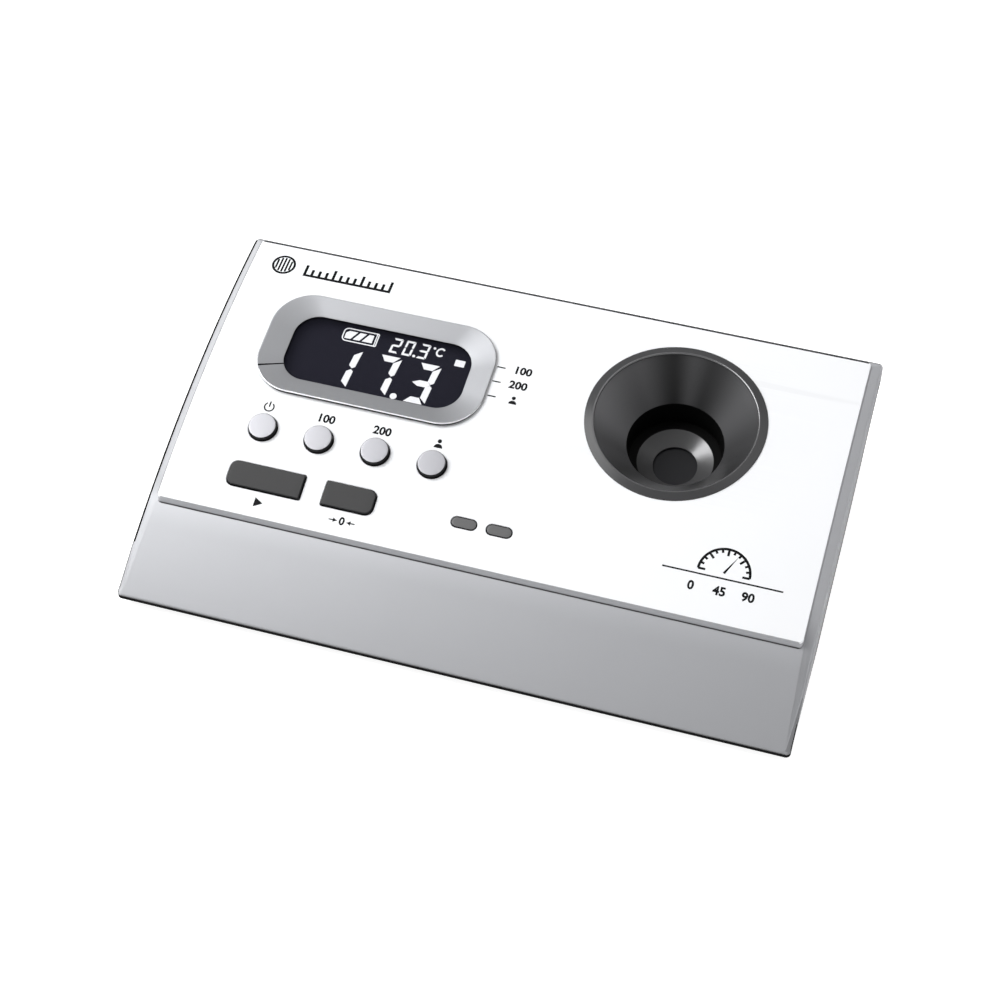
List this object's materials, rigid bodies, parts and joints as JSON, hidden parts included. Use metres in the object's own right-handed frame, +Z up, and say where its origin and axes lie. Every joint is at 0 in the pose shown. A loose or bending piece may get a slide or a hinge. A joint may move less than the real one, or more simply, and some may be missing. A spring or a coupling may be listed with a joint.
{
  "type": "portable digital polarimeter",
  "caption": "Wedge-shaped desk-top polarimeter with a dished display, press keys and a slanted funnel well for an upright sample tube.",
  "frame": {"origin": "on the table under the middle of the case, at the bottom of the rubber feet", "axes": "+X along the long side towards the sample well, +Y towards the high back wall, +Z up; the low front edge faces -Y"},
  "size_m": [0.17, 0.1034, 0.0374],
  "materials": {
    "silver_paint": "fine satin silver paint over moulded plastic",
    "white_panel": "satin white printed panel",
    "black_plastic": "fine-grained moulded plastic",
    "satin_metal": "satin silver",
    "clear_lens": "polished, clear",
    "display_dark": "dark display glass",
    "light_guide": "milky, translucent",
    "button_silver": "satin silver",
    "key_grey": "matte dark grey",
    "lamp_grey": "smoked, semi-gloss",
    "well_black": "semi-gloss dark grey",
    "chip_black": "matte moulded",
    "circuit_green": "solder-resist green",
    "steel": "bright machined",
    "spring_steel": "nickel-plated strip",
    "brass": "turned",
    "gear_white": "natural acetal",
    "polariser_film": "smoked film",
    "rubber": "matte",
    "battery_sleeve": "printed sleeve, no lettering"
  },
  "bodies": {
    "console": {"upper_case": "silver_paint", "lower_case": "black_plastic", "fascia_plate": "white_panel", "display_bezel": "satin_metal", "display_window": "clear_lens", "lcd_panel": "display_dark", "lcd_backlight": "light_guide", "main_board": "circuit_green", "processor_chip": "chip_black", "lamp_lens_left": "lamp_grey", "lamp_lens_right": "lamp_grey", "lamp_led_left": "light_guide", "lamp_led_right": "light_guide", "well_funnel": "well_black", "well_retaining_ring": "well_black", "aperture_cone": "well_black", "well_window": "clear_lens", "optics_bracket": "steel", "rotor_bearing": "brass", "stepper_motor": "steel", "detector_board": "circuit_green", "photodiode": "chip_black", "temperature_sensor": "chip_black", "battery_front": "battery_sleeve", "battery_back": "battery_sleeve", "battery_bridge": "spring_steel", "battery_front_contact": "spring_steel", "battery_back_contact": "spring_steel", "power_switch": "chip_black", "tube_100_switch": "chip_black", "tube_200_switch": "chip_black", "user_switch": "chip_black", "start_switch": "chip_black", "zero_switch": "chip_black", "bracket_screw_front": "steel", "bracket_screw_back": "steel", "board_screw_left": "steel", "board_screw_right": "steel", "foot_front_left": "rubber", "case_screw_front_left": "steel", "foot_back_left": "rubber", "case_screw_back_left": "steel", "foot_front_right": "rubber", "case_screw_front_right": "steel", "foot_back_right": "rubber", "case_screw_back_right": "steel"},
    "power_button": {"power_button": "button_silver"},
    "tube_100_button": {"tube_100_button": "button_silver"},
    "tube_200_button": {"tube_200_button": "button_silver"},
    "user_button": {"user_button": "button_silver"},
    "start_key": {"start_key": "key_grey"},
    "zero_key": {"zero_key": "key_grey"},
    "analyser": {"analyser_rotor": "gear_white", "analyser_polariser": "polariser_film"},
    "pinion": {"motor_pinion": "brass"},
    "battery_cover": {"battery_door": "black_plastic"}
  },
  "joints": [
    {"name": "power_button_press", "type": "slide", "parent": "console", "child": "power_button", "axis": [0, 0.3003, -0.9538], "range_m": [0, 0.0006], "stiffness_N_per_m": 900},
    {"name": "tube_100_button_press", "type": "slide", "parent": "console", "child": "tube_100_button", "axis": [0, 0.3003, -0.9538], "range_m": [0, 0.0006], "stiffness_N_per_m": 900},
    {"name": "tube_200_button_press", "type": "slide", "parent": "console", "child": "tube_200_button", "axis": [0, 0.3003, -0.9538], "range_m": [0, 0.0006], "stiffness_N_per_m": 900},
    {"name": "user_button_press", "type": "slide", "parent": "console", "child": "user_button", "axis": [0, 0.3003, -0.9538], "range_m": [0, 0.0006], "stiffness_N_per_m": 900},
    {"name": "start_key_press", "type": "slide", "parent": "console", "child": "start_key", "axis": [0, 0.348, -0.9375], "range_m": [0, 0.0006], "stiffness_N_per_m": 900},
    {"name": "zero_key_press", "type": "slide", "parent": "console", "child": "zero_key", "axis": [0, 0.348, -0.9375], "range_m": [0, 0.0006], "stiffness_N_per_m": 900},
    {"name": "analyser_spin", "type": "hinge", "parent": "console", "child": "analyser", "pos_m": [0.0387, 0.0246, 0.00751], "axis": [0, -0.2032, 0.9791], "continuous": true},
    {"name": "pinion_spin", "type": "hinge", "parent": "console", "child": "pinion", "pos_m": [0.0567, 0.0246, 0.00751], "axis": [0, -0.2032, 0.9791], "continuous": true},
    {"name": "battery_cover_slide", "type": "slide", "parent": "console", "child": "battery_cover", "axis": [0, 1, 0], "range_m": [0, 0.03]}
  ],
  "couplings": [
    {"joint": "pinion_spin", "follows": "analyser_spin", "ratio": -5}
  ]
}
